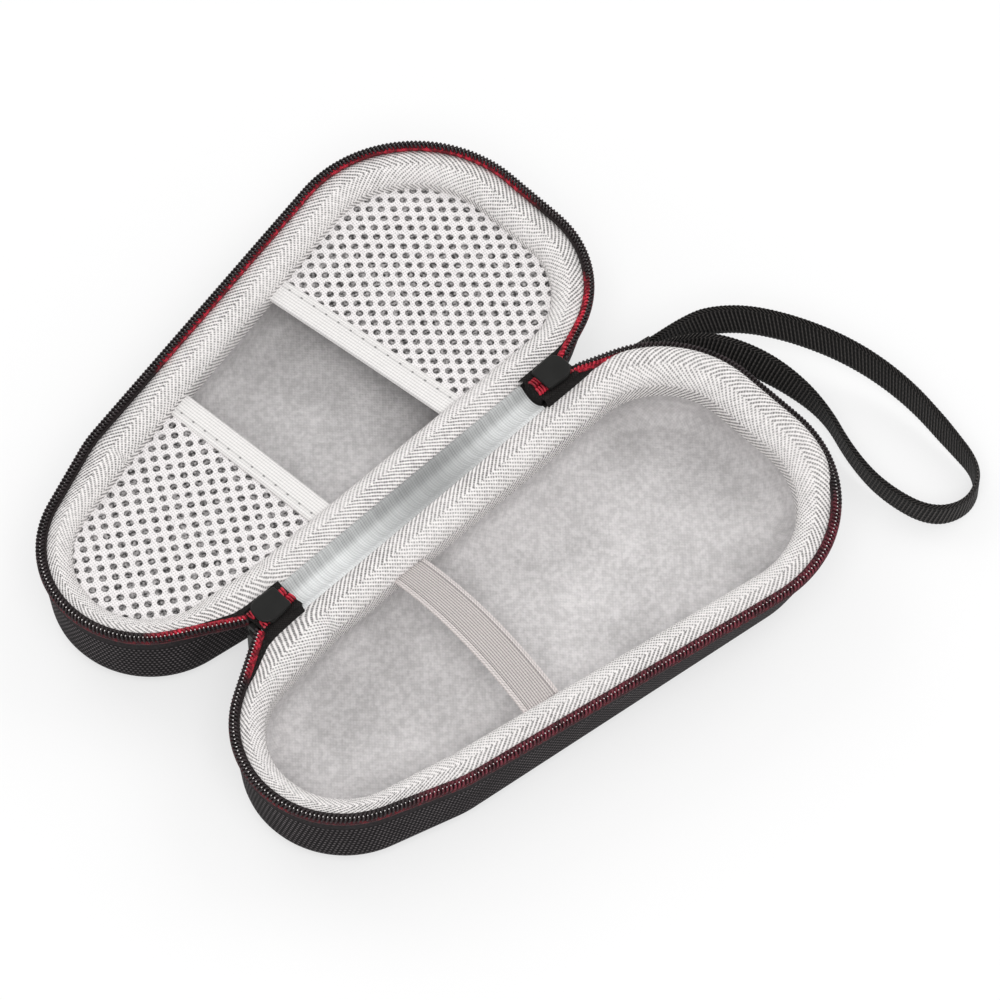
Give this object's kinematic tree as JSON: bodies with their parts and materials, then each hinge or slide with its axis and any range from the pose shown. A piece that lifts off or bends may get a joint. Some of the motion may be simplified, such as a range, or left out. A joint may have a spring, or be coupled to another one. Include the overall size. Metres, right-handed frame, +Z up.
{
  "type": "electric shaver hard case",
  "caption": "Zip-around hard case with a fabric hinge, an elastic strap over its tray, mesh lid pockets and a wrist strap, lying open.",
  "frame": {"origin": "on the table, below the middle of the fabric hinge, with the case open flat", "axes": "+X along the hinge towards the wide end, +Y across it towards the lid, +Z up from the table"},
  "size_m": [0.2279, 0.199, 0.0322],
  "materials": {
    "shell_fabric": "black twill over moulded foam",
    "lining_fabric": "light grey brushed lining",
    "binding_fabric": "off-white herringbone tape",
    "zip_tape_fabric": "black and dark red woven zip tape",
    "zip_coil_plastic": "black and dark red nylon coil",
    "elastic_fabric": "grey ribbed elastic",
    "mesh_fabric": "light grey knitted mesh",
    "hem_fabric": "off-white ribbed tape",
    "ribbon_fabric": "light grey ribbed cloth",
    "patch_fabric": "black woven cloth",
    "webbing_fabric": "black ribbed webbing",
    "slider_metal": "black enamel on zinc",
    "tab_metal": "dark grey enamel"
  },
  "bodies": {
    "base": {"base_shell": "shell_fabric", "base_lining": "lining_fabric", "base_rim_binding": "binding_fabric", "base_zip_tape": "zip_tape_fabric", "base_zip_coil": "zip_coil_plastic", "elastic_band": "elastic_fabric", "strap_anchor": "webbing_fabric", "hand_strap": "webbing_fabric"},
    "lid": {"lid_shell": "shell_fabric", "lid_lining": "lining_fabric", "lid_rim_binding": "binding_fabric", "lid_zip_tape": "zip_tape_fabric", "lid_zip_coil": "zip_coil_plastic", "wide_pocket_mesh": "mesh_fabric", "wide_pocket_hem": "hem_fabric", "narrow_pocket_mesh": "mesh_fabric", "narrow_pocket_hem": "hem_fabric"},
    "hinge_line": {"hinge_ribbon": "ribbon_fabric", "hinge_outer_panel": "shell_fabric", "wide_hinge_patch": "patch_fabric", "narrow_hinge_patch": "patch_fabric", "wide_joined_chain": "zip_coil_plastic", "narrow_joined_chain": "zip_coil_plastic"},
    "wide_slider": {"wide_slider_body": "slider_metal"},
    "wide_bail": {"wide_pull_bail": "slider_metal"},
    "wide_tab": {"wide_pull_tab": "tab_metal"},
    "narrow_slider": {"narrow_slider_body": "slider_metal"},
    "narrow_bail": {"narrow_pull_bail": "slider_metal"},
    "narrow_tab": {"narrow_pull_tab": "tab_metal"}
  },
  "joints": [
    {"name": "lid_hinge", "type": "hinge", "parent": "base", "child": "lid", "pos_m": [0, 0, 0.0301], "axis": [1, 0, 0], "range_deg": [0, 180]},
    {"name": "hinge_line_turn", "type": "hinge", "parent": "base", "child": "hinge_line", "pos_m": [0, 0, 0.0301], "axis": [1, 0, 0], "range_deg": [0, 90], "deforming": ["hinge_ribbon", "hinge_outer_panel", "wide_hinge_patch", "narrow_hinge_patch"]},
    {"name": "wide_slider_slide", "type": "slide", "parent": "hinge_line", "child": "wide_slider", "axis": [1, 0, 0], "range_m": [-0.0016, 0]},
    {"name": "wide_bail_swing", "type": "hinge", "parent": "wide_slider", "child": "wide_bail", "pos_m": [0.0599, 0, 0.02654], "axis": [0, -1, 0], "range_deg": [-20, 40]},
    {"name": "wide_tab_swing", "type": "hinge", "parent": "wide_bail", "child": "wide_tab", "pos_m": [0.0599, 0, 0.02204], "axis": [0, -1, 0], "range_deg": [-30, 30]},
    {"name": "narrow_slider_slide", "type": "slide", "parent": "hinge_line", "child": "narrow_slider", "axis": [-1, 0, 0], "range_m": [-0.0016, 0]},
    {"name": "narrow_bail_swing", "type": "hinge", "parent": "narrow_slider", "child": "narrow_bail", "pos_m": [-0.0599, 0, 0.02654], "axis": [0, 1, 0], "range_deg": [-20, 40]},
    {"name": "narrow_tab_swing", "type": "hinge", "parent": "narrow_bail", "child": "narrow_tab", "pos_m": [-0.0599, 0, 0.02204], "axis": [0, 1, 0], "range_deg": [-30, 30]}
  ],
  "couplings": [
    {"joint": "hinge_line_turn", "follows": "lid_hinge", "ratio": 0.5}
  ]
}
